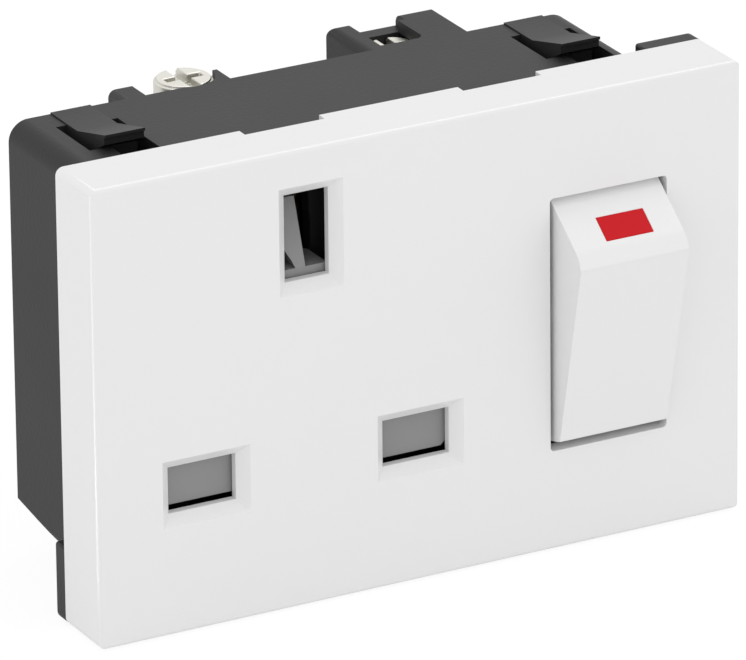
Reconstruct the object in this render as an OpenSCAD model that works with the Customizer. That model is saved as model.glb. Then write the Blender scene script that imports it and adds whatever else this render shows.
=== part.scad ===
// Switched socket insert, one and a half modules wide, for a 45 mm opening.
// X runs right as seen from the front, Y into the wall and Z up.
// The origin is the centre of the plane where the flange seats, and depths count from the cover's face.

/* [Cover] */
// Width of the front cover
module_w = 67.5; // [66:0.5:72]
// Height of the front cover
module_h = 45; // [44:0.5:48]
// Depth of the cover from its face to its rear edge
cover_d = 6.9; // [6.6:0.1:8]
// Thickness of the cover's face
face_t = 1.8; // [1.5:0.1:2.2]
// Thickness of the cover's side walls
skirt_t = 1.9; // [1.6:0.1:2.2]
// Radius along the cover's front edges
edge_r = 0.4; // [0.3:0.1:0.8]
// Radius of the cover's corners, seen from the front
corner_r = 0.8; // [0.5:0.1:1.5]
// Width of the four lever slots in the cover's rear edge
notch_w = 8.2; // [5:0.1:9]
// Depth of the four lever slots
notch_d = 1.1; // [0.8:0.1:1.4]

/* [Pin openings] */
// Distance of the socket's centre line to the left of the module's centre
socket_x = 11.35; // [10.8:0.05:12]
// Distance of the earth pin below the module's top edge
earth_in = 8.85; // [8.6:0.05:9.2]
// Spread of the line and neutral pins
pin_spread = 22.23; // [22:0.01:22.4]
// Rise from the line and neutral pins to the earth pin
pin_rise = 22.23; // [22:0.01:22.4]
// Width of the line and neutral openings
flat_slot_w = 6.95; // [6.6:0.05:7.2]
// Height of the line and neutral openings
flat_slot_h = 4.55; // [4.4:0.05:4.8]
// Width of the earth opening
tall_slot_w = 4.55; // [4.4:0.05:4.8]
// Height of the earth opening
tall_slot_h = 8.5; // [8.3:0.05:8.8]
// Width and depth of the lead-in around each opening
lead_in = 1.05; // [0.6:0.05:1.2]

/* [Rocker] */
// Distance of the rocker's centre line to the right of the module's centre
rocker_x = 19.675; // [19.3:0.05:19.9]
// Width of the rocker's opening
opening_w = 12.4; // [12:0.1:13]
// Height of the rocker's opening
opening_h = 25.2; // [24.6:0.1:26]
// Radius of the opening's corners
opening_r = 0.4; // [0.3:0.1:1.2]
// Gap on each side of the rocker
rocker_gap = 0.45; // [0.3:0.05:0.6]
// Swing of the rocker from one position to the other
rocker_travel = 14; // [10:1:15]
// Depth of the rocker's pivot behind the cover's face
pivot_d = 3.3; // [3.2:0.1:3.5]
// Radius of the rocker's pivot pins
pivot_r = 1; // [0.8:0.1:1.1]
// How far the rocker's ridge stands proud of the face
ridge_out = 4.76; // [4:0.1:5.5]
// Height of the ridge above the module's centre
ridge_z = 8.03; // [7.5:0.1:8.5]
// How far the pressed end stands proud of the face
heel_out = 0.42; // [0:0.1:1]
// Wall of the hollow rocker
rocker_wall = 1.2; // [1:0.1:1.5]
// Width of the red window
lens_w = 5; // [4:0.1:6]
// Height of the red window along the sloping face
lens_h = 2.65; // [2:0.05:3.4]

/* [Housing] */
// Thickness of the flange behind the cover
flange_t = 1.7; // [1.5:0.1:2]
// Width of the housing
tub_w = 59.1; // [58:0.1:60]
// Distance of the housing's top below the module's top edge
tub_in = 2.4; // [2.2:0.1:2.7]
// Depth of the housing's rear wall behind the cover's face
tub_d = 25; // [24.8:0.1:27]
// Rise of the tapered underside from the flange to the rear
tub_rise = 2.75; // [1:0.05:3]
// Wall of the housing
tub_wall = 1.6; // [1.4:0.1:1.7]
// Radius of the housing's corners, seen from the rear
tub_r = 2; // [1:0.1:2.5]
// Depth of the terminal towers behind the cover's face
tower_d = 32.65; // [32:0.1:34]
// Rise of the snap tongues' noses above the housing's top
nose_rise = 1.6; // [1:0.1:1.9]

/* [Shutter] */
// Thickness of the shutter's blades
shutter_t = 1.4; // [1.2:0.1:1.5]
// Travel of the shutter when an earth pin pushes it down
shutter_travel = 7; // [6.6:0.1:7.2]

/* [Contacts] */
// Thickness of the brass strip
strip_t = 0.8; // [0.6:0.1:0.9]
// Spacing of the two switch poles
pole_spread = 6.2; // [6:0.1:6.4]
// Tilt of a contact lever away from its middle position
lever_tilt = 10.5; // [8:0.5:11]
// Radius of a wire entry
entry_r = 1.6; // [1.4:0.05:1.7]
// Travel of a clamp plate from open to tight
clamp_travel = 2; // [1.6:0.1:2.1]

/* [Hidden] */
$fn = 48;
// Small overlap that makes cuts run past a surface
eps = 0.05;
// Radial clearance of a running fit
run_gap = 0.06;
// Clearance between pieces that slide or drop in
slide_gap = 0.15;

// Depth of the seating plane behind the cover's face
seat_d = cover_d + flange_t;
// Inner half sizes of the cover's skirt
skirt_x = module_w / 2 - skirt_t;
skirt_z = module_h / 2 - skirt_t;
// Places of the pins
pin_x = -socket_x;
earth_z = module_h / 2 - earth_in;
live_x = pin_x + pin_spread / 2;
neutral_x = pin_x - pin_spread / 2;
pin_z = earth_z - pin_rise;
// Flange, its two full-size ears and its rim inside the cover
flange_x = module_w / 2 - 1.35;
flange_z = module_h / 2 - 1.1;
ear_r = 0.25;
ear_w = 6.3;
ear_h = 7.7;
rim_t = 1.4;
rim_x = skirt_x - slide_gap;
rim_z = skirt_z - slide_gap;
rim_d = 4.9;
// Inside of the housing
tub_top = module_h / 2 - tub_in;
tub_x = tub_w / 2;
room_x = tub_x - tub_wall;
room_top = tub_top - tub_wall;
room_d = tub_d - tub_wall;
// Middles of the lever slots, one pair above and one below
notch_x = [-10.9, 11.75];
// Contact plate that closes the housing
plate_t = 1.4;
plate_front = cover_d - plate_t;
plate_x = rim_x - rim_t - slide_gap;
plate_z = rim_z - rim_t - slide_gap;
plate_hole_gap = 0.35;
window_x = opening_w / 2 + 0.5;
window_z = opening_h / 2 + 0.6;
// Screws that hold the contact plate
post_r = 2.3;
pilot_r = 0.75;
small_screw_r = 0.9;
post_x = plate_x - 5.75;
post_z = plate_z - 3.5;
post_xz = [[-post_x, post_z], [3.2, post_z], [pin_x - 4.3, -post_z + 0.2]];
post_end = 16;
// Rocker
rocker_w = opening_w - 2 * rocker_gap;
rocker_r = opening_h / 2 - 0.12;
heel_r = 12.13;
rocker_rear = 4.6;
ridge_fillet = 3;
crown_d = 0.8;
crown_z = 12.25;
heel_z = -11.64;
crown_slope = atan2(crown_z - ridge_z, crown_d + ridge_out);
crown_len = norm([crown_z - ridge_z, crown_d + ridge_out]);
cheek_t = 1.7;
pin_reach = 1.5;
// Switch mechanism, with the rocker's sleeves at half the swing above the middle
pole_x = [rocker_x - pole_spread / 2, rocker_x + pole_spread / 2];
sleeve_a = rocker_travel / 2;
sleeve_r = 2.1;
plunger_r = 1.4;
tip_r = 1.1;
plunger_tip = 9.8;
plunger_rear = 4.9;
lever_d = 14.68;
lever_arm = 8.6;
lever_w = 3.2;
knuckle_r = 1;
tip_arm = 7.5;
tip_pad_r = 1;
tip_pad_t = 0.6;
// Strips stacked up from the rear wall: terminal bars, contact links and fixed contacts
bar_gap = 1.8;
link_step = 3;
anvil_step = 0.76;
bar_d = room_d - bar_gap;
link_d = bar_d - link_step;
anvil_d = link_d - anvil_step;
// Lamp behind the rocker's window
lamp_d = 5.4;
lamp_z = 8.8;
lamp_r = 1.9;
resistor_d = 12.6;
resistor_z = room_top - 3.1;
resistor_r = 1;
// Neutral strip that passes below the live one to the switch
cross_w = 2.6;
cross_z1 = pin_z - 3.92;
cross_z0 = cross_z1 - cross_w;
// Earth clip
earth_base_z = earth_z - 4.45;
// Terminal towers behind the housing
tower_x0 = 7.66;
bay_x0 = 9.75;
bay_x1 = 15.1;
tower_x1 = 18.6;
bay_d0 = 25.7;
bay_d1 = 30.9;
window_x1 = 14.4;
window_r = 0.8;
tower_r = 1.1;
sill_drop = 1.2;
tower_h = 12.6;
bay_h = 11;
neutral_drop = tub_rise;
screw_x = (bay_x0 + bay_x1) / 2;
screw_d = (bay_d0 + bay_d1) / 2;
// Terminal screws, with heights counted down from the top of their tower
head_r = 2.5;
head_t = 2;
head_drop = 1.3;
shank_r = 1.6;
shank_l = 5.3;
clamp_t = 1;
clamp_w = 4.9;
clamp_drop = head_drop + head_t + run_gap;
strap_drop = clamp_drop + clamp_t + clamp_travel + 0.2;
strap_t = 1.1;
strap_w = 4.7;
entry_drop = strap_drop - entry_r + 0.35;
// Earth terminal between its two guard tabs
earth_x = -10;
earth_d = 27.75;
earth_head_r = 2.83;
earth_head_t = 1.9;
earth_top = tub_top - 0.1;
guard_d = 27.75;
guard_h = 9;
guard_l0 = -17.85;
guard_l1 = -15.35;
guard_r0 = -9.1;
guard_r1 = -6.5;
guard_corner = 0.75;
earth_clamp_z = earth_top - earth_head_t - run_gap;
earth_strap_z = earth_clamp_z - clamp_t - clamp_travel - 0.2;
// Snap tongues
tongue_w = 4.1;
tongue_x = [-23.15, 24.6];
tongue_root = 21.7;
tongue_front = 15.4;
nose_z = tub_top + nose_rise;
nose_d = 13.8;
wedge_d = 19.5;
pad_h = 0.15;
lip_t = 0.3;
lip_out = 0.25;
nose_h = 1.05;
// Shutter
shutter_d = face_t + 0.2;
blade_z0 = pin_z - 1.85;
blade_z1 = pin_z + flat_slot_h / 2 + 0.9;
blade_end = flat_slot_w / 2 + 0.35;
shelf_z = earth_z - tall_slot_h / 2 + 0.75;
shelf_t = 1.6;
shelf_w = tall_slot_w + 0.6;
shelf_rear = cover_d + 0.5;
ramp_rear = plate_front - slide_gap;
shelf_corner = 1.6;
rail_w = 1.05;
rib_w = 1;
rib_x = pin_x - 0.12;
rib_top = 16.35;
rib_slope = 18.9;
lug_t = 1.2;
spring_z0 = blade_z1 + lug_t + 0.205;
spring_x = pin_x;
spring_d = (shutter_d + plate_front) / 2;
// Coil springs
coil_r = 1.05;
coil_wire = 0.26;

// Y coordinate of a depth behind the cover's face
function y_at(depth) = depth - seat_d;
// Height of the housing's tapered underside at a depth
function floor_z(depth) = -(tub_top + 0.05) + tub_rise * max(0, depth - seat_d) / (tub_d - seat_d);

// Block between two corners, given as [x, depth, z]
module block(a, b) {
    translate([a[0], y_at(a[1]), a[2]])
        cube([b[0] - a[0], b[1] - a[1], b[2] - a[2]]);
}

// Outline drawn as seen from the front, extruded from one depth to another
module slab(d0, d1) {
    translate([0, y_at(d1), 0])
        rotate([90, 0, 0])
            linear_extrude(d1 - d0) children();
}

// Side profile drawn as [depth, z], extruded from x0 to x1
module side_slab(x0, x1) {
    translate([x0, -seat_d, 0])
        rotate([90, 0, 90])
            linear_extrude(x1 - x0) children();
}

// Plan profile drawn as [x, depth], extruded from z0 to z1
module plan_slab(z0, z1) {
    translate([0, -seat_d, z0])
        linear_extrude(z1 - z0) children();
}

// Round bar along the depth
module rod_y(x, z, r, d0, d1) {
    translate([x, y_at(d1), z])
        rotate([90, 0, 0])
            cylinder(h = d1 - d0, r = r);
}

// Round bar along Z
module rod_z(x, depth, r, z0, z1) {
    translate([x, y_at(depth), z0])
        cylinder(h = z1 - z0, r = r);
}

// Round bar along X
module rod_x(depth, z, r, x0, x1) {
    translate([x0, y_at(depth), z])
        rotate([0, 90, 0])
            cylinder(h = x1 - x0, r = r);
}

// Rectangle about the origin with round corners
module round_rect(w, h, r) {
    square([w - 2 * r, h], center = true);
    square([w, h - 2 * r], center = true);
    for (x = [-1, 1], z = [-1, 1])
        translate([x * (w / 2 - r), z * (h / 2 - r)]) circle(r);
}

// Coil spring along Z from z = 0, as a sweep of a small hexagon round the helix
module coil(length, turns) {
    sides = 6;
    steps = 14;
    n = turns * steps;
    rise = (length - 2 * coil_wire) / n;
    rings = [for (i = [0:n]) let (a = 360 * i / steps)
        for (j = [0:sides - 1]) let (b = 360 * j / sides, r = coil_r + coil_wire * cos(b) / 2 * 1.9)
            [r * cos(a), r * sin(a), coil_wire + i * rise + coil_wire * sin(b) * 0.95]];
    walls = [for (i = [0:n - 1], j = [0:sides - 1]) let (k = (j + 1) % sides)
        [i * sides + j, (i + 1) * sides + j, (i + 1) * sides + k, i * sides + k]];
    ends = [[for (j = [0:sides - 1]) j], [for (j = [sides - 1:-1:0]) n * sides + j]];
    polyhedron(points = rings, faces = concat(walls, ends), convexity = 8);
}

// Frustum-shaped lead-in that widens towards the face, about a pin's centre
module lead_in_cut(w, h) {
    grow = lead_in + eps;
    intersection() {
        plan_slab(-h / 2 - grow, h / 2 + grow)
            polygon([[-w / 2 - grow, -eps], [w / 2 + grow, -eps], [w / 2, lead_in], [-w / 2, lead_in]]);
        side_slab(-w / 2 - grow, w / 2 + grow)
            polygon([[-eps, -h / 2 - grow], [-eps, h / 2 + grow], [lead_in, h / 2], [lead_in, -h / 2]]);
    }
}

// One pin opening through the cover's face
module pin_opening(x, z, w, h) {
    translate([x, 0, z]) {
        block([-w / 2, -1, -h / 2], [w / 2, face_t + 1, h / 2]);
        lead_in_cut(w, h);
    }
}

// Cover's outside: one outline from each of three sides, so that every front edge is round
module cover_block() {
    hw = module_w / 2;
    hh = module_h / 2;
    intersection() {
        slab(0, cover_d) round_rect(module_w, module_h, corner_r);
        plan_slab(-hh, hh) front_rounded(hw);
        side_slab(-hw, hw) rotate(90) mirror([0, 1]) front_rounded(hh);
    }
}

// Half-width w to each side, with its two front edges rounded, as [across, depth]
module front_rounded(w) {
    translate([-w, edge_r]) square([2 * w, cover_d]);
    translate([-w + edge_r, 0]) square([2 * (w - edge_r), edge_r * 2]);
    for (s = [-1, 1])
        translate([s * (w - edge_r), edge_r]) circle(edge_r);
}

// Snap windows in the rim take these hooks
module snap_hooks(grow) {
    for (s = [-1, 1], z = [-1, 1])
        block([s * skirt_x - (s > 0 ? 0.55 : 0) - grow, rim_d + 0.7 - grow, z * 10 - 1.6 - grow],
            [s * skirt_x + (s > 0 ? 0 : 0.55) + grow, rim_d + 1.4 + grow, z * 10 + 1.6 + grow]);
}

module front_cover() color([0.93, 0.93, 0.93]) {
    difference() {
        union() {
            difference() {
                cover_block();
                block([-skirt_x, face_t, -skirt_z], [skirt_x, cover_d + 1, skirt_z]);
            }
            // Cheeks that carry the rocker's pivot pins
            for (s = [-1, 1])
                let (inner = rocker_x + s * (opening_w / 2), outer = inner + s * cheek_t)
                    block([min(inner, outer), face_t - eps, -2.6], [max(inner, outer), plate_front - 0.2, 2.6]);
            snap_hooks(0);
        }
        pin_opening(pin_x, earth_z, tall_slot_w, tall_slot_h);
        pin_opening(live_x, pin_z, flat_slot_w, flat_slot_h);
        pin_opening(neutral_x, pin_z, flat_slot_w, flat_slot_h);
        translate([rocker_x, 0, 0])
            slab(-1, face_t + 0.6) round_rect(opening_w, opening_h, opening_r);
        rod_x(pivot_d, 0, pivot_r + run_gap, rocker_x - opening_w / 2 - cheek_t - 1,
            rocker_x + opening_w / 2 + cheek_t + 1);
        // Slots for levering the cover off, two above and two below
        for (x = notch_x, s = [-1, 1])
            block([x - notch_w / 2, cover_d - notch_d, s * module_h / 2 - (s > 0 ? skirt_t + 1 : 1)],
                [x + notch_w / 2, cover_d + 1, s * module_h / 2 + (s > 0 ? 1 : skirt_t + 1)]);
    }
}

// Housing's outline from the front, smaller by inset
module tub_outline(inset) {
    low = tub_top + 0.05 - inset;
    r = max(0.4, tub_r - inset);
    w = tub_w - 2 * inset;
    h = tub_top - inset + low;
    translate([0, (tub_top - inset - low) / 2]) round_rect(w, h, r);
}

// Space between the top and the tapered underside, smaller by inset, from d0 to d1
module tub_body(inset, d0, d1) {
    intersection() {
        slab(d0, d1) tub_outline(inset);
        side_slab(-tub_x, tub_x)
            polygon([[d0, tub_top], [d0, floor_z(d0) + inset], [seat_d, floor_z(seat_d) + inset],
                [d1, floor_z(d1) + inset], [d1, tub_top]]);
    }
}

module flange_outline() {
    square([2 * flange_x, 2 * flange_z], center = true);
    for (s = [-1, 1])
        intersection() {
            round_rect(module_w, module_h, corner_r);
            translate([s * (module_w - ear_w) / 2, s * (module_h - ear_h) / 2]) round_rect(ear_w, ear_h, ear_r);
        }
}

// Tower that holds one terminal, drawn for the top; its top is at z_top
module tower(z_top) {
    r = 0.9;
    intersection() {
        translate([0, 0, z_top])
            side_slab(tower_x0, tower_x1)
                union() {
                    translate([tub_d - eps, -tower_h]) square([tower_d - tub_d - r, tower_h]);
                    translate([tub_d - eps, -tower_h]) square([tower_d - tub_d + eps, tower_h - r]);
                    translate([tower_d - r, -r]) circle(r);
                }
        slab(tub_d - 1, tower_d + 1)
            corner_outline(tower_x0, tower_x1, z_top - tower_h, z_top, tower_r);
    }
}

// Outline from x0 to x1 and z0 to z1 with its top left corner round
module corner_outline(x0, x1, z0, z1, r) {
    translate([x0 + r, z0]) square([x1 - x0 - r, z1 - z0]);
    translate([x0, z0]) square([x1 - x0, z1 - z0 - r]);
    translate([x0 + r, z1 - r]) circle(r);
}

// Cuts inside a tower: the screw's bay, the lowered sill and the wire entry
module tower_cuts(z_top) {
    block([bay_x0, bay_d0, z_top - bay_h], [bay_x1, bay_d1, z_top - sill_drop]);
    block([bay_x0, bay_d0, z_top - bay_h], [window_x1 - window_r, bay_d1 + eps, z_top + 3]);
    block([bay_x0, bay_d0 + window_r, z_top - bay_h], [window_x1, bay_d1 + eps, z_top + 3]);
    rod_z(window_x1 - window_r, bay_d0 + window_r, window_r, z_top - bay_h, z_top + 3);
    block([bay_x0, bay_d1 - eps, z_top - sill_drop], [bay_x1, tower_d + 1, z_top + 3]);
    rod_y(screw_x, z_top - entry_drop, entry_r, bay_d1 - 1, tower_d + 1);
    // Slot that lets the strap through the rear wall
    block([screw_x - strap_w / 2 - 0.1, room_d - 1, z_top - strap_drop - strap_t - 0.1],
        [screw_x + strap_w / 2 + 0.1, bay_d0 + 1, z_top - strap_drop + 0.1]);
}

// One snap tongue on the top, or the underside when side is -1
module tongue_profile(side) {
    skin = tub_wall - 0.3;
    function surf(depth) = side > 0 ? tub_top : -floor_z(depth);
    wall_d = nose_d + lip_out;
    polygon([[tongue_front, surf(tongue_front) - skin], [tongue_front, surf(tongue_front) - 0.2],
        [wall_d, nose_z - nose_h], [wall_d, nose_z - lip_t], [nose_d, nose_z - lip_t],
        [nose_d, nose_z], [wedge_d, surf(wedge_d) + pad_h],
        [tub_d, surf(tub_d) + pad_h], [tub_d, surf(tub_d) - skin], [wedge_d, surf(wedge_d) - skin]]);
}

module snap_tongue(x, side) {
    mirror([0, 0, side > 0 ? 0 : 1])
        side_slab(x - tongue_w / 2, x + tongue_w / 2) tongue_profile(side);
}

// U-shaped cut round a tongue, through the housing's wall
module tongue_cut(x, side) {
    z0 = side > 0 ? room_top - 1 : -tub_top - 1;
    z1 = side > 0 ? tub_top + 1 : -tub_top + tub_rise + tub_wall + 0.5;
    left = x - tongue_w / 2;
    right = x + tongue_w / 2;
    block([left - 1.1, 14.8, z0], [left, tongue_root, z1]);
    block([right, 12.1, z0], [right + 0.8, 21, z1]);
    block([left + 1, 12.1, z0], [right + 0.4, tongue_front, z1]);
    block([left - 1.1, 14.8, z0], [right, tongue_front, z1]);
}

module rear_housing() color([0.31, 0.31, 0.32]) {
    difference() {
        union() {
            difference() {
                union() {
                    slab(cover_d, seat_d) flange_outline();
                    slab(rim_d, cover_d + eps) square([2 * rim_x, 2 * rim_z], center = true);
                    tub_body(0, seat_d - eps, tub_d);
                }
                slab(rim_d - 1, cover_d) square([2 * (rim_x - rim_t), 2 * (rim_z - rim_t)], center = true);
                // Gaps in the rim behind the cover's lever slots
                for (x = notch_x)
                    block([x - notch_w / 2, rim_d - 1, -rim_z - 1], [x + notch_w / 2, cover_d, rim_z + 1]);
                tub_body(tub_wall, cover_d - 1, room_d);
                for (x = tongue_x, s = [-1, 1]) tongue_cut(x, s);
            }
            for (x = tongue_x, s = [-1, 1]) snap_tongue(x, s);
            tower(tub_top);
            mirror([0, 0, 1]) tower(tub_top - neutral_drop);
            inner_seats();
            // Guard tabs of the earth terminal
            for (x = [[guard_l0, guard_l1, guard_corner], [guard_r0, guard_r1, eps]])
                slab(tub_d - eps, guard_d) corner_outline(x[0], x[1], tub_top - guard_h, tub_top, x[2]);
            // Wall between the socket and the switch
            block([7.2, plate_front + plate_t + 1.5, floor_z(tub_d) + tub_wall - eps],
                [8.4, room_d + eps, room_top + eps]);
            // Posts for the contact plate's screws
            for (p = post_xz)
                let (wall_z = p[1] > 0 ? room_top + eps : floor_z(seat_d) + tub_wall - eps) {
                    rod_y(p[0], p[1], post_r, cover_d + slide_gap / 3, post_end);
                    block([p[0] - 1, cover_d + 1, min(p[1], wall_z)], [p[0] + 1, post_end, max(p[1], wall_z)]);
                }
        }
        tower_cuts(tub_top);
        mirror([0, 0, 1]) tower_cuts(tub_top - neutral_drop);
        // Clearance for the earth screw's head in the right guard tab
        rod_z(earth_x, earth_d, earth_head_r + 0.2, tub_top - guard_h - 1, tub_top + 1);
        // Slot for the earth strap
        block([pin_x - 2.9, room_d - 1, pin_z + pin_rise - 5.35], [pin_x + 2.9, tub_d + 1, earth_z - 4.15]);
        snap_hooks(0.12);
        // Ways through the dividing wall for the live and neutral strips
        block([6, link_d - 0.3, pin_z - 3.2], [9, link_d + strip_t + 0.3, pin_z + 3.2]);
        block([6, link_d - 0.3, cross_z0 - 0.4], [9, link_d + strip_t + 0.3, cross_z1 + 0.4]);
        for (p = post_xz) rod_y(p[0], p[1], pilot_r, cover_d - 1, post_end - 2);
        rod_x(resistor_d, resistor_z, resistor_r, rocker_x - 3, rocker_x + 3);
    }
}

// Ribs and seats inside the housing that the brass pieces and the resistor rest on
module inner_seats() {
    back = link_d + strip_t;
    wall = room_d + eps;
    for (x = [live_x, neutral_x]) block([x - 1.5, back, pin_z - 1.2], [x + 1.5, wall, pin_z + 1.2]);
    block([pole_x[0] - 1.2, back, -1.3], [pole_x[0] + 1.2, wall, 1.3]);
    block([pole_x[0] - 1.2, anvil_d + strip_t, tip_arm - 1], [pole_x[0] + 1.2, wall, tip_arm + 1]);
    block([pole_x[1] - 1.2, bar_d + strip_t, -1], [pole_x[1] + 1.2, wall, 1]);
    block([pole_x[1] + 1.6, back, -1.3], [pole_x[1] + 2.8, wall, 1.3]);
    block([pole_x[1] - 1.5, back, -1.3], [pole_x[1] + 2.8, bar_d - 0.15, 1.3]);
    block([pin_x - 1.5, 17, earth_base_z - strip_t - 1.2], [pin_x + 1.5, wall, earth_base_z - strip_t]);
    for (x = [rocker_x - 2.4, rocker_x + 1.6])
        block([x, resistor_d - 1, resistor_z], [x + 0.8, resistor_d + 1, room_top + eps]);
}

// Bracket on the contact plate's rear that holds the lamp behind the rocker
module lamp_bracket() {
    top = window_z + 0.1;
    for (x = [rocker_x - 3.4, rocker_x + 0.7])
        difference() {
            union() {
                block([x, cover_d - eps, top], [x + 0.9, lamp_d + 3.8, top + 1]);
                block([x, lamp_d + 2.8, lamp_z - 1.2], [x + 0.9, lamp_d + 3.8, top + 1]);
                block([x, lamp_d + 1.2, lamp_z - 1.2], [x + 0.9, lamp_d + 3.8, lamp_z + 1]);
            }
            rod_x(lamp_d, lamp_z, lamp_r, rocker_x - 8, rocker_x + 8);
        }
}

module contact_plate() color([0.2, 0.2, 0.21]) {
    grow = plate_hole_gap;
    difference() {
        union() {
            slab(plate_front, cover_d) square([2 * plate_x, 2 * plate_z], center = true);
            // Lug under the shutter's spring
            block([spring_x - 1.35, shutter_d + 0.1, spring_z0 - lug_t], [spring_x + 1.35, cover_d, spring_z0]);
            // Ribs that guide the shutter
            for (s = [-1, 1])
                let (x = pin_x + s * (shelf_w / 2 + 0.65))
                    block([x - 0.5, shutter_d + 0.1, spring_z0 - 0.6], [x + 0.5, cover_d, shelf_z - 2.15]);
        }
        for (p = [[live_x, pin_z, flat_slot_w, flat_slot_h], [neutral_x, pin_z, flat_slot_w, flat_slot_h],
                [pin_x, earth_z, tall_slot_w, tall_slot_h]])
            block([p[0] - p[2] / 2 - grow, plate_front - 1, p[1] - p[3] / 2 - grow],
                [p[0] + p[2] / 2 + grow, cover_d + 1, p[1] + p[3] / 2 + grow]);
        block([rocker_x - window_x, plate_front - 1, -window_z], [rocker_x + window_x, cover_d + 1, window_z]);
        // Way for the shutter's shelf, down to where an earth pin pushes it
        block([pin_x - shelf_w / 2 - slide_gap, plate_front - 1, shelf_z - shelf_t - shutter_travel - slide_gap],
            [pin_x + shelf_w / 2 + slide_gap, cover_d + 1, earth_z]);
        for (p = post_xz) rod_y(p[0], p[1], small_screw_r + 0.15, plate_front - 1, cover_d + 1);
    }
    lamp_bracket();
}

// One self-tapping screw with its head towards the front
module small_screw(x, z) {
    head_front = plate_front - 1.2;
    difference() {
        union() {
            rod_y(x, z, 1.7, head_front, plate_front);
            rod_y(x, z, small_screw_r, plate_front - eps, cover_d);
            rod_y(x, z, pilot_r, cover_d - eps, cover_d + 6);
        }
        block([x - 1.1, head_front - 1, z - 0.2], [x + 1.1, head_front + 0.6, z + 0.2]);
        block([x - 0.2, head_front - 1, z - 1.1], [x + 0.2, head_front + 0.6, z + 1.1]);
    }
}

module plate_screws() color([0.75, 0.75, 0.72]) {
    for (p = post_xz) small_screw(p[0], p[1]);
}

// Rocker's side profile as [depth, z], with its front faces moved in by inset; the ridge is a short arc
module rocker_profile(inset) {
    heel_a = atan((ridge_out - heel_out) / (ridge_z - heel_z));
    crown_a = 90 - crown_slope;
    mid_a = (crown_a + heel_a) / 2;
    half_a = (crown_a - heel_a) / 2;
    inward = [cos(mid_a), -sin(mid_a)];
    r = max(0.05, ridge_fillet - inset);
    steps = 6;
    centre = [-ridge_out, ridge_z] + (inset + r) / cos(half_a) * inward;
    arc = [for (i = [0:steps]) let (a = heel_a + 2 * half_a * i / steps) centre + r * [-cos(a), sin(a)]];
    polygon(concat([arc[0] + 24 * [sin(heel_a), -cos(heel_a)]], arc,
        [arc[steps] + 10 * [sin(crown_a), cos(crown_a)], [rocker_rear + 8, crown_z + 6], [rocker_rear + 8, -20]]));
}

// Rocker's ends are arcs about the pivot, so that they pass the opening as it swings
module rocker_ends(inset) {
    intersection() {
        translate([pivot_d, 0]) circle(rocker_r - inset);
        translate([-20, 0]) square([40, 20]);
    }
    intersection() {
        translate([pivot_d, 0]) circle(heel_r - inset);
        translate([-20, -20]) square([40, 20 + eps]);
    }
}

module rocker_solid(inset, side_inset) {
    half = rocker_w / 2 - side_inset;
    side_slab(rocker_x - half, rocker_x + half)
        intersection() {
            rocker_profile(inset);
            rocker_ends(inset);
            translate([-20, -20]) square([20 + rocker_rear, 40]);
        }
}

// Frame of the sleeves and plungers: the local X axis points out of the sleeve
module sleeve_frame(x) {
    translate([x, y_at(pivot_d), 0])
        rotate([sleeve_a, 0, 0])
            rotate([0, 0, 90]) children();
}

// Round bar along a sleeve, from s0 to s1 behind the pivot
module sleeve_rod(r, s0, s1) {
    translate([s0, 0, 0])
        rotate([0, 90, 0])
            cylinder(h = s1 - s0, r = r);
}

// Place of the red window on the crown face, with Y into the rocker and Z up the slope
module lens_frame() {
    mid = [-ridge_out, ridge_z] + 0.4 * crown_len * [cos(crown_slope), sin(crown_slope)];
    translate([rocker_x + 0.27, y_at(mid[0]), mid[1]])
        rotate([crown_slope - 90, 0, 0]) children();
}

module rocker() color([0.95, 0.95, 0.95]) {
    difference() {
        union() {
            difference() {
                rocker_solid(0, 0);
                intersection() {
                    rocker_solid(rocker_wall, rocker_wall);
                    block([0, -20, -20], [40, rocker_rear + 1, 20]);
                }
                block([rocker_x - rocker_w / 2 + rocker_wall, rocker_rear - 1, -10.6],
                    [rocker_x + rocker_w / 2 - rocker_wall, rocker_rear + 1, 10.8]);
            }
            rod_x(pivot_d, 0, pivot_r, rocker_x - rocker_w / 2 - pin_reach, rocker_x + rocker_w / 2 + pin_reach);
            // Web between the sleeves and the faces
            intersection() {
                rocker_solid(0.2, 0.2);
                block([rocker_x - rocker_w / 2 + 0.4, -20, -1.2], [rocker_x + rocker_w / 2 - 0.4, pivot_d + 1, 1.2]);
            }
            for (x = pole_x) sleeve_frame(x) sleeve_rod(sleeve_r, -1.5, 7);
        }
        for (x = pole_x) sleeve_frame(x) sleeve_rod(plunger_r + run_gap, 1, 8);
        lens_frame()
            translate([-lens_w / 2, -1, -lens_h / 2]) cube([lens_w, 4, lens_h]);
    }
}

module indicator_lens() color([0.8, 0.12, 0.14]) {
    lens_frame()
        translate([-lens_w / 2, -0.03, -lens_h / 2]) cube([lens_w, 1.5, lens_h]);
}

module neon_lamp() color([0.9, 0.6, 0.5]) {
    rod_x(lamp_d, lamp_z, lamp_r, rocker_x - 3.6, rocker_x + 1.6);
    translate([rocker_x + 1.6, y_at(lamp_d), lamp_z]) sphere(r = lamp_r);
}

module lamp_resistor() color([0.75, 0.65, 0.5]) {
    rod_x(resistor_d, resistor_z, resistor_r, rocker_x - 3, rocker_x + 3);
}

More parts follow.
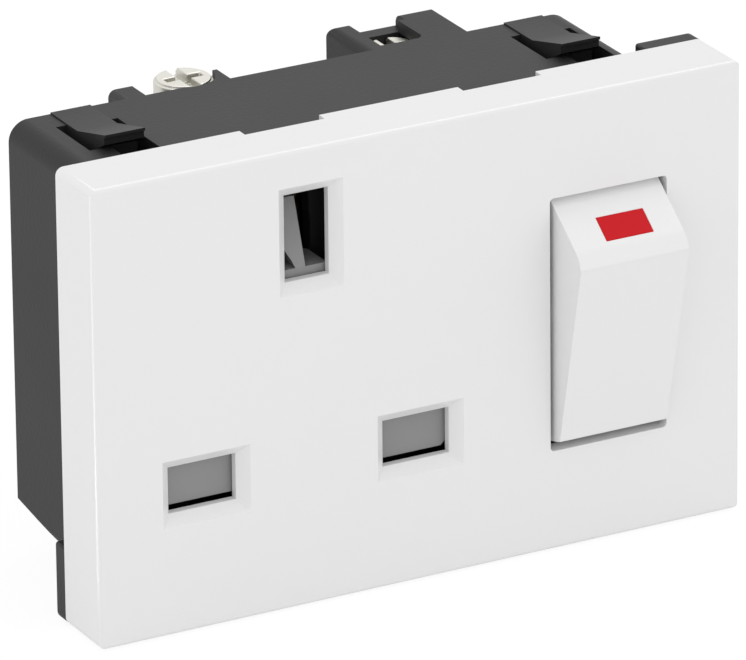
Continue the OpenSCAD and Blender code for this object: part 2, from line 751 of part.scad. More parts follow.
// Shutter: blades in front of both lower openings, a ramp and a shelf in the earth opening
module shutter() color([0.72, 0.72, 0.72]) {
    blade_rear = shutter_d + shutter_t;
    x0 = neutral_x - blade_end;
    x1 = live_x + blade_end;
    half = shelf_w / 2;
    difference() {
        union() {
            slab(shutter_d, blade_rear)
                polygon([[x0, blade_z0], [x0, blade_z1], [x1, blade_z1], [x1, blade_z0 + 0.7],
                    [x1 - 0.7, blade_z0]]);
            block([pin_x - half, shutter_d, blade_z1 - eps], [pin_x + half, blade_rear, shelf_z]);
            plan_slab(shelf_z - shelf_t, shelf_z)
                polygon([[pin_x - half, shutter_d], [pin_x - half, shelf_rear],
                    [pin_x + half - shelf_corner, shelf_rear], [pin_x + half, shelf_rear - shelf_corner],
                    [pin_x + half, shutter_d]]);
            shutter_ramp();
        }
        block([spring_x - 1.5, shutter_d - 1, blade_z1], [spring_x + 1.5, plate_front, shelf_z - shelf_t]);
    }
}

// Ramp that an earth pin pushes down: narrow foot, widening and receding upwards
module shutter_ramp() {
    lean = tan(rib_slope);
    height = rib_top - shelf_z;
    right = rib_x + rib_w / 2;
    intersection() {
        side_slab(pin_x - 3, pin_x + 3)
            polygon([[shutter_d, shelf_z - eps], [shutter_d + height * lean, rib_top],
                [ramp_rear, rib_top], [ramp_rear, shelf_z - eps]]);
        slab(shutter_d, ramp_rear)
            polygon([[right, shelf_z - eps], [right, rib_top], [right - 3.1, rib_top], [right - 2.6, shelf_z + 3.5],
                [right - 1.9, shelf_z + 1.8], [right - 1.3, shelf_z + 0.7], [right - rib_w, shelf_z - eps]]);
    }
}

module shutter_spring() color([0.8, 0.8, 0.82]) {
    length = shelf_z - shelf_t - spring_z0 - 0.1;
    translate([spring_x, y_at(spring_d), spring_z0 + 0.05]) coil(length, 8);
}

// U-shaped clip of brass strip that grips a flat pin, open towards the front
module flat_clip(x) {
    half = 2.8;
    grip = 1.9;
    rear = link_d + strip_t;
    side_slab(x - half, x + half)
        translate([0, pin_z])
            for (s = [-1, 1])
                polygon([[9.6, s * (grip + 1.3)], [11.4, s * grip], [rear - strip_t, s * (grip + 0.3)],
                    [rear - strip_t, s * 0], [rear, s * 0], [rear, s * (grip + 0.3 + strip_t)],
                    [11.4, s * (grip + strip_t)], [9.6, s * (grip + 1.3 + strip_t)]]);
}

// Cradle in which a lever's knuckle rocks, carried by a strip at the link's depth
module cradle(x) {
    half = 1.5;
    difference() {
        block([x - half, lever_d + 0.9, -1.5], [x + half, link_d + eps, 1.5]);
        rod_x(lever_d, 0, knuckle_r + run_gap, x - 3, x + 3);
    }
}

module live_contact() color([0.8, 0.65, 0.35]) {
    x = pole_x[0];
    flat_clip(live_x);
    block([live_x, link_d, pin_z - 2.5], [x + 1.5, link_d + strip_t, pin_z + 2.5]);
    block([x - 1.5, link_d, pin_z - 2.5], [x + 1.5, link_d + strip_t, 1.5]);
    cradle(x);
}

module neutral_contact() color([0.8, 0.65, 0.35]) {
    x = pole_x[1];
    flat_clip(neutral_x);
    block([neutral_x - 2.8, link_d, cross_z0], [neutral_x + 2.8, link_d + strip_t, pin_z]);
    block([neutral_x - 2.8, link_d, cross_z0], [x + 1.5, link_d + strip_t, cross_z1]);
    block([x - 1.5, link_d, cross_z0], [x + 1.5, link_d + strip_t, 1.5]);
    cradle(x);
}

// Earth clip: two leaves beside the tall pin on one base, which runs out to the terminal
module earth_contact() color([0.8, 0.65, 0.35]) {
    grip = 1.85;
    out_d = tub_d + 0.2;
    for (s = [-1, 1])
        translate([pin_x, 0, 0])
            plan_slab(earth_base_z - strip_t, earth_z + 3)
                polygon([[s * (grip + 1.2), 9.6], [s * grip, 11.4], [s * (grip + 0.2), 22.4],
                    [s * (grip + 0.2 + strip_t), 22.4], [s * (grip + strip_t), 11.4],
                    [s * (grip + 1.2 + strip_t), 9.6]]);
    block([pin_x - 2.6, 11.4, earth_base_z - strip_t], [pin_x + 2.4, out_d + strip_t, earth_base_z]);
    block([pin_x - 2.6, out_d, earth_base_z - strip_t], [pin_x + 2.4, out_d + strip_t, earth_strap_z]);
    difference() {
        plan_slab(earth_strap_z - strap_t, earth_strap_z)
            union() {
                translate([guard_l1 + 0.3, out_d]) square([earth_x - guard_l1 - 0.3, 5.6]);
                translate([earth_x - eps, guard_d + 0.25]) square([2.9 + eps, 2.8]);
                translate([earth_x, earth_d]) circle(2.8);
            }
        rod_z(earth_x, earth_d, shank_r + run_gap, earth_strap_z - 3, earth_strap_z + 1);
    }
}

// Contact lever about the knuckle on the cradle
module lever(x) {
    translate([x, y_at(lever_d), 0])
        rotate([-lever_tilt, 0, 0]) {
            translate([-lever_w / 2, -strip_t / 2, -lever_arm]) cube([lever_w, strip_t, 2 * lever_arm]);
            difference() {
                translate([-1.3, 0, 0]) rotate([0, 90, 0]) cylinder(h = 2.6, r = knuckle_r);
                translate([-3, -3, -3]) cube([6, 3, 6]);
            }
        }
}

module lever_tip(x) {
    translate([x, y_at(lever_d), 0])
        rotate([-lever_tilt, 0, 0])
            translate([0, strip_t / 2, tip_arm])
                rotate([-90, 0, 0]) cylinder(h = tip_pad_t, r = tip_pad_r);
}

module live_lever() color([0.82, 0.6, 0.4]) lever(pole_x[0]);

module neutral_lever() color([0.82, 0.6, 0.4]) lever(pole_x[1]);

module lever_tip_live() color([0.85, 0.85, 0.85]) lever_tip(pole_x[0]);

module lever_tip_neutral() color([0.85, 0.85, 0.85]) lever_tip(pole_x[1]);

module fixed_tips() color([0.85, 0.85, 0.85]) {
    for (x = pole_x) rod_y(x, tip_arm, tip_pad_r, anvil_d - tip_pad_t, anvil_d);
}

module plunger(x) {
    sleeve_frame(x) {
        sleeve_rod(plunger_r, plunger_rear, plunger_tip - 1.2);
        sleeve_rod(tip_r, plunger_rear, plunger_tip);
        translate([plunger_tip, 0, 0]) sphere(r = tip_r);
    }
}

module live_plunger() color([0.9, 0.9, 0.85]) plunger(pole_x[0]);

module neutral_plunger() color([0.9, 0.9, 0.85]) plunger(pole_x[1]);

module plunger_spring(x) {
    sleeve_frame(x)
        rotate([0, 90, 0]) translate([0, 0, 1.05]) coil(plunger_rear - 1.1, 4);
}

module live_spring() color([0.8, 0.8, 0.82]) plunger_spring(pole_x[0]);

module neutral_spring() color([0.8, 0.8, 0.82]) plunger_spring(pole_x[1]);

// Threaded strap of a line or neutral tower, with heights from the tower's top
module tower_strap(z_top, d0) {
    z = z_top - strap_drop;
    difference() {
        block([screw_x - strap_w / 2, d0, z - strap_t], [screw_x + strap_w / 2, bay_d1 - 0.2, z]);
        rod_z(screw_x, screw_d, shank_r + run_gap, z - strap_t - 1, z + 1);
    }
}

module live_terminal() color([0.8, 0.65, 0.35]) {
    x = pole_x[0];
    z = tub_top - strap_drop;
    tower_strap(tub_top, bar_d);
    block([screw_x - strap_w / 2, bar_d, z - strap_t], [x + 1.5, bar_d + 1.4, z]);
    block([x - 1.5, anvil_d, z - strap_t], [x + 1.5, bar_d + 1.4, z]);
    block([x - 1.5, anvil_d, tip_arm - 1.6], [x + 1.5, anvil_d + strip_t, z]);
}

module neutral_terminal() color([0.8, 0.65, 0.35]) {
    x = pole_x[1];
    z_top = tub_top - neutral_drop;
    z = -(z_top - strap_drop);
    mirror([0, 0, 1]) tower_strap(z_top, bar_d);
    block([screw_x - strap_w / 2, bar_d, z], [x + 1.5, bar_d + strip_t, z + 2]);
    block([x - 1.5, bar_d, z], [x + 1.5, bar_d + strip_t, tip_arm + 1.6]);
    block([x - 1.5, anvil_d, tip_arm + 0.8], [x + 1.5, bar_d + strip_t, tip_arm + 1.6]);
    block([x - 1.5, anvil_d, tip_arm - 1.6], [x + 1.5, anvil_d + strip_t, tip_arm + 1.6]);
}

// Terminal screw along Z with its head on top at z = 0 and a slot crossed by a recess
module terminal_screw(r_head, t_head) {
    difference() {
        union() {
            translate([0, 0, -t_head]) cylinder(h = t_head - 0.25, r = r_head);
            translate([0, 0, -0.25 - eps]) cylinder(h = 0.25 + eps, r = r_head - 0.25);
            translate([0, 0, -t_head - shank_l]) cylinder(h = shank_l + eps, r = shank_r);
        }
        translate([-0.55, -r_head - 1, -0.75]) cube([1.1, 2 * r_head + 2, 2]);
        translate([-1.9, -0.45, -1]) cube([3.8, 0.9, 2]);
    }
}

module earth_screw() color([0.82, 0.82, 0.78]) {
    translate([earth_x, y_at(earth_d), earth_top]) terminal_screw(earth_head_r, earth_head_t);
}

module live_screw() color([0.82, 0.82, 0.78]) {
    translate([screw_x, y_at(screw_d), tub_top - head_drop]) terminal_screw(head_r, head_t);
}

module neutral_screw() color([0.82, 0.82, 0.78]) {
    translate([screw_x, y_at(screw_d), -(tub_top - neutral_drop - head_drop)])
        mirror([0, 0, 1]) terminal_screw(head_r, head_t);
}

// Square clamp plate under a screw's head, with its top at z = 0
module clamp_plate(w) {
    difference() {
        translate([-w / 2, -w / 2, -clamp_t]) cube([w, w, clamp_t]);
        translate([0, 0, -clamp_t - 1]) cylinder(h = clamp_t + 2, r = shank_r + run_gap);
    }
}

module earth_clamp() color([0.8, 0.78, 0.7]) {
    translate([earth_x, y_at(earth_d), earth_clamp_z])
        intersection() {
            clamp_plate(2 * earth_head_r);
            translate([0, 0, -clamp_t - 1]) cylinder(h = clamp_t + 2, r = earth_head_r - 0.05);
        }
}

module live_clamp() color([0.8, 0.78, 0.7]) {
    translate([screw_x, y_at(screw_d), tub_top - clamp_drop]) clamp_plate(clamp_w);
}

module neutral_clamp() color([0.8, 0.78, 0.7]) {
    translate([screw_x, y_at(screw_d), -(tub_top - neutral_drop - clamp_drop)])
        mirror([0, 0, 1]) clamp_plate(clamp_w);
}

front_cover();
rear_housing();
contact_plate();
plate_screws();
rocker();
indicator_lens();
neon_lamp();
lamp_resistor();
shutter();
shutter_spring();
earth_contact();
live_contact();
neutral_contact();
live_lever();
neutral_lever();
lever_tip_live();
lever_tip_neutral();
fixed_tips();
live_plunger();
neutral_plunger();
live_spring();
neutral_spring();
live_terminal();
neutral_terminal();
earth_screw();
live_screw();
neutral_screw();
earth_clamp();
live_clamp();
neutral_clamp();
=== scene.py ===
import math

import bmesh
import bpy
from mathutils import Matrix, Vector


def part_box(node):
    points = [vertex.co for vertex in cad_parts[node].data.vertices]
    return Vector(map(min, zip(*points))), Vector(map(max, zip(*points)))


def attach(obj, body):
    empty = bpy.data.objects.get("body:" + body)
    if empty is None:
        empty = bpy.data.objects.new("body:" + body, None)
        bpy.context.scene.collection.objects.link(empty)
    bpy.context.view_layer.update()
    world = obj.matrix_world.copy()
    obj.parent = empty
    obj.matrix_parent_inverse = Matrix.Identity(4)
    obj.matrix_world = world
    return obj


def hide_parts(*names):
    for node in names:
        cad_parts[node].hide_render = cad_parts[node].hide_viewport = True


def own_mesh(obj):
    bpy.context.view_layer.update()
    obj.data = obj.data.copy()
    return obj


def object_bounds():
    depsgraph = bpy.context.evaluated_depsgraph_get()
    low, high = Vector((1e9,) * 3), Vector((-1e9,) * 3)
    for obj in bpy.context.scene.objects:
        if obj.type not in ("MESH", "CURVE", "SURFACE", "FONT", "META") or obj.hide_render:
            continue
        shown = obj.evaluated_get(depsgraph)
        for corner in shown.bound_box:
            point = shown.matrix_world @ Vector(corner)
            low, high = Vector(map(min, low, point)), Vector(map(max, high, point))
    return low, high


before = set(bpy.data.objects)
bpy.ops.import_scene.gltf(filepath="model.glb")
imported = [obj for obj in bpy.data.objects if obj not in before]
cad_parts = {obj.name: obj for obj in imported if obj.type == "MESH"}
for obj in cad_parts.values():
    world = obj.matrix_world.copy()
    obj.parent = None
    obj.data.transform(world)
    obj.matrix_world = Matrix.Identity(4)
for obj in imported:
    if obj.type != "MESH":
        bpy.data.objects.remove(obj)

cad_low, cad_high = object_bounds()

# The viewpoint: a long lens from the upper left, far enough away that the cover's edges stay nearly parallel.
# The place is measured from the middle of the cover's face, in metres.
face_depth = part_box("front_cover")[0].y
view_yaw = math.radians(-28.145)
view_pitch = math.radians(22.098)
view_roll = math.radians(-0.621)
view_distance = 0.9002
view_aside = Vector((-0.004551, 0.002185))
focal_px = 9798
photo_width_px = 746
sensor_mm = 36

to_camera = Vector((math.sin(view_yaw) * math.cos(view_pitch),
                    -math.cos(view_yaw) * math.cos(view_pitch),
                    math.sin(view_pitch)))
level_right = (-to_camera).cross(Vector((0, 0, 1))).normalized()
level_up = level_right.cross(-to_camera)
view_right = math.cos(view_roll) * level_right + math.sin(view_roll) * level_up
view_up = math.cos(view_roll) * level_up - math.sin(view_roll) * level_right
face_middle = Vector((0, face_depth, 0))
eye = face_middle + view_aside.x * view_right + view_aside.y * view_up + view_distance * to_camera

camera_data = bpy.data.cameras.new("photo_camera")
camera_data.sensor_width = sensor_mm
camera_data.lens = focal_px * sensor_mm / photo_width_px
camera_data.clip_start = 0.05
camera_data.clip_end = 20
camera = bpy.data.objects.new("photo_camera", camera_data)
camera.matrix_world = Matrix.Translation(eye) @ Matrix((view_right, view_up, to_camera)).transposed().to_4x4()
bpy.context.scene.collection.objects.link(camera)
bpy.context.scene.camera = camera
bpy.context.scene.view_settings.view_transform = "Standard"

# The light: an even white room with weak soft panels at the left and the front. A narrow strip overhead and
# one on the table, seen only by gloss, draw the bright lines along the cover's rounded front edges.
room_strength = 1.02
world = bpy.data.worlds.new("white_room")
bpy.context.scene.world = world
world.use_nodes = True
world_nodes = world.node_tree.nodes
world_links = world.node_tree.links
room_light = world_nodes["Background"]
room_light.inputs["Color"].default_value = (1, 1, 1, 1)
room_light.inputs["Strength"].default_value = room_strength
seen_white = world_nodes.new("ShaderNodeBackground")
seen_white.inputs["Strength"].default_value = 1
room_rays = world_nodes.new("ShaderNodeLightPath")
room_mix = world_nodes.new("ShaderNodeMixShader")
world_links.new(room_rays.outputs["Is Camera Ray"], room_mix.inputs["Fac"])
world_links.new(room_light.outputs["Background"], room_mix.inputs[1])
world_links.new(seen_white.outputs["Background"], room_mix.inputs[2])
world_links.new(room_mix.outputs["Shader"], world_nodes["World Output"].inputs["Surface"])


def soft_panel(name, place, aim, width, height, power, gloss_only=False):
    """A lamp that faces its aim. With gloss_only it is an ellipse that is only reflected."""
    light = bpy.data.lights.new(name, "AREA")
    light.shape = "ELLIPSE" if gloss_only else "RECTANGLE"
    light.size = width
    light.size_y = height
    light.energy = power
    panel = bpy.data.objects.new(name, light)
    panel.location = place
    panel.rotation_euler = (Vector(aim) - Vector(place)).to_track_quat("-Z", "Y").to_euler()
    panel.visible_camera = False
    panel.visible_diffuse = not gloss_only
    bpy.context.scene.collection.objects.link(panel)
    return panel


middle = (0, 0, 0)
soft_panel("left_panel", place=(-0.55, -0.2, 0.25), aim=middle, width=0.2, height=0.5, power=0.1)
soft_panel("front_panel", place=(0, -0.6, 0.05), aim=middle, width=0.8, height=0.12, power=0.2)
soft_panel("overhead_strip", place=(0.227, 0.139, 0.447), aim=middle, width=0.6, height=0.08, power=0.95,
           gloss_only=True)
strip_lift = 0.0008
strip_place = Vector((-0.105, -0.005, cad_low.z + strip_lift))
strip_turn = math.radians(-2)
table_strip = soft_panel("table_strip", place=strip_place, aim=strip_place + Vector((0, 0, 1)), width=0.12,
                         height=0.013, power=0.05, gloss_only=True)
# It lies flat and faces up, turned to lie along the cover's lower edge.
table_strip.rotation_euler = (math.pi, 0, strip_turn)

# The floor: a pale table under the module, white to the eye with the module's faint shadow on it. Seen from
# below it is clear, so that it doesn't hide the module.
floor_half = 3
floor_gap = 0.0002
floor_grey = (0.86, 0.86, 0.86)
floor_glow = 1.04
shadow_share = 0.12
floor_mesh = bpy.data.meshes.new("table_top")
floor_z = cad_low.z - floor_gap
floor_corners = [(x * floor_half, y * floor_half, floor_z) for x, y in ((-1, -1), (1, -1), (1, 1), (-1, 1))]
floor_mesh.from_pydata(floor_corners, [], [(0, 1, 2, 3)])
table_top = bpy.data.objects.new("table_top", floor_mesh)
bpy.context.scene.collection.objects.link(table_top)
table_paint = bpy.data.materials.new("table_paint")
table_paint.use_nodes = True
paint_nodes = table_paint.node_tree.nodes
paint_links = table_paint.node_tree.links
paint_nodes["Principled BSDF"].inputs["Base Color"].default_value = (*floor_grey, 1)
paint_nodes["Principled BSDF"].inputs["Roughness"].default_value = 0.9
paint_glow = paint_nodes.new("ShaderNodeEmission")
paint_glow.inputs["Strength"].default_value = floor_glow
paint_rays = paint_nodes.new("ShaderNodeLightPath")
seen = paint_nodes.new("ShaderNodeMath")
seen.operation = "MAXIMUM"
seen_or_through = paint_nodes.new("ShaderNodeMath")
seen_or_through.operation = "MAXIMUM"
glow_share = paint_nodes.new("ShaderNodeMath")
glow_share.operation = "MULTIPLY"
glow_share.inputs[1].default_value = 1 - shadow_share
paint_mix = paint_nodes.new("ShaderNodeMixShader")
# Camera, glossy and transmission rays see the glow, and all others the plain paint.
paint_links.new(paint_rays.outputs["Is Camera Ray"], seen.inputs[0])
paint_links.new(paint_rays.outputs["Is Glossy Ray"], seen.inputs[1])
paint_links.new(seen.outputs[0], seen_or_through.inputs[0])
paint_links.new(paint_rays.outputs["Is Transmission Ray"], seen_or_through.inputs[1])
paint_links.new(seen_or_through.outputs[0], glow_share.inputs[0])
paint_links.new(glow_share.outputs[0], paint_mix.inputs["Fac"])
paint_links.new(paint_nodes["Principled BSDF"].outputs["BSDF"], paint_mix.inputs[1])
paint_links.new(paint_glow.outputs["Emission"], paint_mix.inputs[2])
paint_side = paint_nodes.new("ShaderNodeNewGeometry")
paint_below = paint_nodes.new("ShaderNodeBsdfTransparent")
paint_below.inputs["Color"].default_value = (1, 1, 1, 1)
side_mix = paint_nodes.new("ShaderNodeMixShader")
paint_links.new(paint_side.outputs["Backfacing"], side_mix.inputs["Fac"])
paint_links.new(paint_mix.outputs["Shader"], side_mix.inputs[1])
paint_links.new(paint_below.outputs["BSDF"], side_mix.inputs[2])
paint_links.new(side_mix.outputs["Shader"], paint_nodes["Material Output"].inputs["Surface"])
floor_mesh.materials.append(table_paint)

# The rear housing: one moulding of dark grey, glass-filled nylon with the flange, the screw towers and four
# snap tongues. Its surface has the fine spark-eroded grain of the mould, and its edges are barely rounded.
housing_edge = 0.00012
housing_grey = (0.018, 0.018, 0.0185)
housing_worn = (0.024, 0.024, 0.0245)
eroded_grain = 0.00002
same_place = 2e-6
same_plane = math.radians(0.5)
fold_angle = math.radians(32)


def moulded_surface():
    """Fine grain and slow cloudiness of a moulded plastic: a mask, a roughness and a height."""
    group = bpy.data.node_groups.new("moulded_surface", "ShaderNodeTree")
    for name, value in (("Grain scale", 3000.0), ("Cloud scale", 60.0),
                        ("Roughness", 0.4), ("Roughness spread", 0.1)):
        group.interface.new_socket(name, in_out="INPUT", socket_type="NodeSocketFloat").default_value = value
    for name in ("Cloud", "Roughness", "Height"):
        group.interface.new_socket(name, in_out="OUTPUT", socket_type="NodeSocketFloat")
    nodes, links = group.nodes, group.links
    given = nodes.new("NodeGroupInput")
    out = nodes.new("NodeGroupOutput")
    place = nodes.new("ShaderNodeTexCoord")
    grain = nodes.new("ShaderNodeTexNoise")
    grain.inputs["Detail"].default_value = 3
    cloud = nodes.new("ShaderNodeTexNoise")
    cloud.inputs["Detail"].default_value = 4
    links.new(place.outputs["Object"], grain.inputs["Vector"])
    links.new(place.outputs["Object"], cloud.inputs["Vector"])
    links.new(given.outputs["Grain scale"], grain.inputs["Scale"])
    links.new(given.outputs["Cloud scale"], cloud.inputs["Scale"])
    centred = nodes.new("ShaderNodeMath")
    centred.operation = "SUBTRACT"
    centred.inputs[1].default_value = 0.5
    spread = nodes.new("ShaderNodeMath")
    spread.operation = "MULTIPLY_ADD"
    links.new(cloud.outputs["Fac"], centred.inputs[0])
    links.new(centred.outputs[0], spread.inputs[0])
    links.new(given.outputs["Roughness spread"], spread.inputs[1])
    links.new(given.outputs["Roughness"], spread.inputs[2])
    links.new(cloud.outputs["Fac"], out.inputs["Cloud"])
    links.new(spread.outputs[0], out.inputs["Roughness"])
    links.new(grain.outputs["Fac"], out.inputs["Height"])
    return group


surface_group = moulded_surface()


def varied_material(name, base, worn, roughness, grain_scale, grain_depth, spread):
    """A material whose colour, gloss and relief vary a little over the surface, with its two main nodes."""
    material = bpy.data.materials.new(name)
    material.use_nodes = True
    nodes, links = material.node_tree.nodes, material.node_tree.links
    shader = nodes["Principled BSDF"]
    surface = nodes.new("ShaderNodeGroup")
    surface.node_tree = surface_group
    surface.inputs["Grain scale"].default_value = grain_scale
    surface.inputs["Roughness"].default_value = roughness
    surface.inputs["Roughness spread"].default_value = spread
    tint = nodes.new("ShaderNodeMix")
    tint.data_type = "RGBA"
    tint.inputs["A"].default_value = (*base, 1)
    tint.inputs["B"].default_value = (*worn, 1)
    relief = nodes.new("ShaderNodeBump")
    relief.inputs["Strength"].default_value = 1
    relief.inputs["Distance"].default_value = grain_depth
    links.new(surface.outputs["Cloud"], tint.inputs["Factor"])
    links.new(tint.outputs["Result"], shader.inputs["Base Color"])
    links.new(surface.outputs["Roughness"], shader.inputs["Roughness"])
    links.new(surface.outputs["Height"], relief.inputs["Height"])
    links.new(relief.outputs["Normal"], shader.inputs["Normal"])
    return material, shader, surface


def moulding_plastic(name, base, worn, roughness, grain_scale, grain_depth, spread=0.12, specular=0.5):
    """A moulded plastic with the grain of its mould."""
    material, shader, _ = varied_material(name, base, worn, roughness, grain_scale, grain_depth, spread)
    shader.inputs["Specular IOR Level"].default_value = specular
    return material


def softened_piece(node, name, edge, body, material):
    """A copy of a moulded or turned node, in place of the node, with flat facets merged and edges rounded."""
    work = bmesh.new()
    work.from_mesh(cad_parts[node].data)
    bmesh.ops.remove_doubles(work, verts=work.verts, dist=same_place)
    bmesh.ops.dissolve_limit(work, angle_limit=same_plane, verts=work.verts, edges=work.edges)
    sharp = [e for e in work.edges if len(e.link_faces) == 2 and e.calc_face_angle() > fold_angle]
    bmesh.ops.bevel(work, geom=sharp, offset=edge, offset_type="OFFSET", segments=2, profile=0.5,
                    affect="EDGES", clamp_overlap=True, miter_outer="SHARP", miter_inner="SHARP")
    mesh = bpy.data.meshes.new(name)
    work.to_mesh(mesh)
    work.free()
    mesh.materials.clear()
    mesh.materials.append(material)
    mesh.shade_smooth()
    mesh.set_sharp_from_angle(angle=fold_angle)
    piece = bpy.data.objects.new(name, mesh)
    bpy.context.scene.collection.objects.link(piece)
    even_shade = piece.modifiers.new("even_shade", "WEIGHTED_NORMAL")
    even_shade.keep_sharp = True
    even_shade.weight = 100
    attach(piece, body)
    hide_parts(node)


grey_nylon = moulding_plastic("grey_nylon", housing_grey, housing_worn, roughness=0.5, grain_scale=2600,
                              grain_depth=eroded_grain, specular=0.24)
softened_piece("rear_housing", "housing_moulding", housing_edge, "base", grey_nylon)

# The contact plate: a darker insulating plate of the same nylon that closes the housing and carries the
# shutter's guides, the spring's lug and the lamp's bracket. Three small screws hold it.
plate_grey = (0.012, 0.012, 0.013)
plate_worn = (0.018, 0.018, 0.019)
dark_nylon = moulding_plastic("dark_nylon", plate_grey, plate_worn, roughness=0.55, grain_scale=2600,
                              grain_depth=eroded_grain, specular=0.25)


def finish_node(node, material):
    """The carried-over solid takes this material."""
    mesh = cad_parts[node].data
    mesh.materials.clear()
    mesh.materials.append(material)


finish_node("contact_plate", dark_nylon)

# The plate's screws and the terminal screws with their clamps: zinc or nickel plated steel, with fine
# scratches that change the gloss more than the colour.
terminal_edge = 0.00012
tarnish_scale = 400
tarnish_spread = 0.2


def worked_metal(name, base, tarnished, roughness, scratch_scale, scratch_depth):
    """A metal with patches of tarnish and fine scratches."""
    material, shader, surface = varied_material(name, base, tarnished, roughness, scratch_scale,
                                                scratch_depth, tarnish_spread)
    shader.inputs["Metallic"].default_value = 1
    surface.inputs["Cloud scale"].default_value = tarnish_scale
    return material


zinc_plate = worked_metal("zinc_plate", (0.62, 0.62, 0.6), (0.45, 0.45, 0.44), roughness=0.4,
                          scratch_scale=1800, scratch_depth=0.00001)
nickel_plate = worked_metal("nickel_plate", (0.7, 0.69, 0.635), (0.56, 0.55, 0.5), roughness=0.4,
                            scratch_scale=1500, scratch_depth=0.000015)
finish_node("plate_screws", zinc_plate)
for fixing in ("earth", "live", "neutral"):
    softened_piece(fixing + "_screw", fixing + "_terminal_screw", terminal_edge, fixing + "_screw",
                   nickel_plate)
    finish_node(fixing + "_clamp", nickel_plate)

# The springs: drawn steel wire, wound with a closed turn at each end. The shutter's stands on the plate's
# lug, and each plunger's lies in its sleeve in the rocker. Each is pressed together as its slide moves.
wire_radius = 0.00023
coil_radius = 0.00106
wire_sides = 10
steps_a_turn = 28
wire_end_angle = math.radians(50)
lug_middle = (-0.01135, -0.00485, 0.002275)
sleeve_line = (0, 0.992546, 0.121869)
sleeve_y, sleeve_z = -0.002371, 0.000347
spring_wire = worked_metal("spring_wire", (0.66, 0.66, 0.68), (0.5, 0.5, 0.52), roughness=0.3,
                           scratch_scale=2500, scratch_depth=0.000005)


def coil_spring(node, name, body, middle, line, length, turns):
    """A compression spring about a line, in place of the node."""
    along = Vector(line).normalized()
    side = along.orthogonal().normalized()
    across = along.cross(side)
    foot = Vector(middle) - along * length / 2
    closed_rise = 2 * wire_radius
    open_rise = (length - 3 * closed_rise) / (turns - 2)
    points, faces = [], []
    for step in range(turns * steps_a_turn + 1):
        turn = step / steps_a_turn
        rise = closed_rise * min(turn, 1) + open_rise * min(max(turn - 1, 0), turns - 2)
        rise += wire_radius + closed_rise * max(turn - turns + 1, 0)
        out = math.cos(2 * math.pi * turn) * side + math.sin(2 * math.pi * turn) * across
        for corner in range(wire_sides):
            around = 2 * math.pi * corner / wire_sides
            points.append(foot + along * (rise + wire_radius * math.sin(around))
                          + out * (coil_radius + wire_radius * math.cos(around)))
            if step:
                here, there = step * wire_sides, (step - 1) * wire_sides
                after = (corner + 1) % wire_sides
                faces.append((there + corner, here + corner, here + after, there + after))
    faces.append(tuple(range(wire_sides)))
    faces.append(tuple(reversed(range(len(points) - wire_sides, len(points)))))
    mesh = bpy.data.meshes.new(name)
    mesh.from_pydata(points, [], faces)
    mesh.materials.append(spring_wire)
    mesh.shade_smooth()
    mesh.set_sharp_from_angle(angle=wire_end_angle)
    piece = bpy.data.objects.new(name, mesh)
    bpy.context.scene.collection.objects.link(piece)
    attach(piece, body)
    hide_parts(node)
    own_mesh(piece)


coil_spring("shutter_spring", "shutter_coil", "base", lug_middle, (0, 0, 1), length=0.0123, turns=8)
for pole, sleeve_x in (("live", 0.016575), ("neutral", 0.022775)):
    coil_spring(pole + "_spring", pole + "_coil", "rocker", (sleeve_x, sleeve_y, sleeve_z), sleeve_line,
                length=0.00365, turns=4)

# The brass: clips, levers and straps stamped from strip and bent. Silver contact tips are riveted to the
# levers and to the fixed contact bars.
stamped_brass = worked_metal("stamped_brass", (0.8, 0.61, 0.3), (0.62, 0.44, 0.2), roughness=0.34,
                             scratch_scale=1800, scratch_depth=0.00001)
contact_silver = worked_metal("contact_silver", (0.85, 0.85, 0.84), (0.66, 0.66, 0.66), roughness=0.3,
                              scratch_scale=1800, scratch_depth=0.000005)
for strip in ("earth_contact", "live_contact", "neutral_contact", "live_lever", "neutral_lever",
              "live_terminal", "neutral_terminal"):
    finish_node(strip, stamped_brass)
for tip in ("lever_tip_live", "lever_tip_neutral", "fixed_tips"):
    finish_node(tip, contact_silver)

# The shutter: a pale grey acetal moulding that blocks the two lower openings until the earth pin's tip
# runs down its ramp. Its colour here is painted much darker than pale acetal, as painted shade for the dim
# inside of the openings.
shutter_edge = 0.00012
# Both greys hold painted shade: they are darkened to stand for the shade inside the pin openings.
shutter_painted_shade_grey = (0.26, 0.26, 0.26)
shutter_shade = (0.225, 0.225, 0.225)
acetal_grain = 0.00001
shutter_acetal_painted_shade = moulding_plastic("shutter_acetal_painted_shade", shutter_painted_shade_grey, shutter_shade, roughness=0.45, grain_scale=2400,
                               grain_depth=acetal_grain)
softened_piece("shutter", "shutter_moulding", shutter_edge, "shutter", shutter_acetal_painted_shade)

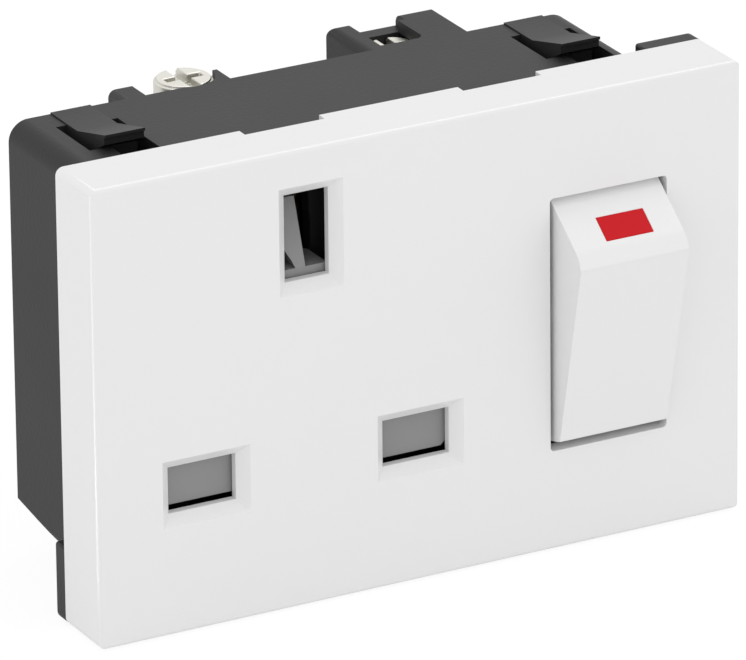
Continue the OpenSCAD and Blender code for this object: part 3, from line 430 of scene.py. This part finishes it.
# The rocker's plungers: natural acetal pegs that slide in the rocker's sleeves against their springs and
# press on the contact levers.
peg_acetal = moulding_plastic("peg_acetal", (0.78, 0.78, 0.74), (0.7, 0.7, 0.66), roughness=0.4,
                              grain_scale=2400, grain_depth=acetal_grain)
for peg in ("live_plunger", "neutral_plunger"):
    finish_node(peg, peg_acetal)

# The lamp and its resistor behind the rocker: a thin glass bulb that lights the red window, and a lacquered
# ceramic rod in series with it.
bulb_glass = bpy.data.materials.new("bulb_glass")
bulb_glass.use_nodes = True
bulb_shader = bulb_glass.node_tree.nodes["Principled BSDF"]
bulb_shader.inputs["Base Color"].default_value = (0.95, 0.9, 0.85, 1)
bulb_shader.inputs["Transmission Weight"].default_value = 1
bulb_shader.inputs["Roughness"].default_value = 0.03
finish_node("neon_lamp", bulb_glass)
rod_lacquer = moulding_plastic("rod_lacquer", (0.55, 0.45, 0.3), (0.45, 0.36, 0.24), roughness=0.35,
                               grain_scale=2000, grain_depth=0.00001)
finish_node("lamp_resistor", rod_lacquer)

# The front cover: glossy white polycarbonate, moulded in one piece with its pin openings and the rocker's
# bearings. It is nearly smooth, with a trace of grain.
cover_edge = 0.0001
cover_white = (0.8, 0.8, 0.8)
cover_shade = (0.785, 0.785, 0.785)
polished_grain = 0.000002
white_gloss = moulding_plastic("white_gloss", cover_white, cover_shade, roughness=0.3, grain_scale=3500,
                               grain_depth=polished_grain, spread=0.06)
softened_piece("front_cover", "cover_moulding", cover_edge, "base", white_gloss)

# The rocker: the same white polycarbonate, hollow behind, hung on its two trunnions in the cover's bearings.
# The red window is pressed into its upper slope.
rocker_edge = 0.00018
window_edge = 0.00006
rocker_gloss = moulding_plastic("rocker_gloss", cover_white, cover_shade, roughness=0.34, grain_scale=3500,
                                grain_depth=polished_grain, spread=0.06)
softened_piece("rocker", "rocker_moulding", rocker_edge, "rocker", rocker_gloss)
window_red = moulding_plastic("window_red", (0.6, 0.008, 0.015), (0.56, 0.007, 0.013), roughness=0.35,
                              grain_scale=1200, grain_depth=0.000004, spread=0.05, specular=0.08)
softened_piece("indicator_lens", "red_window", window_edge, "rocker", window_red)
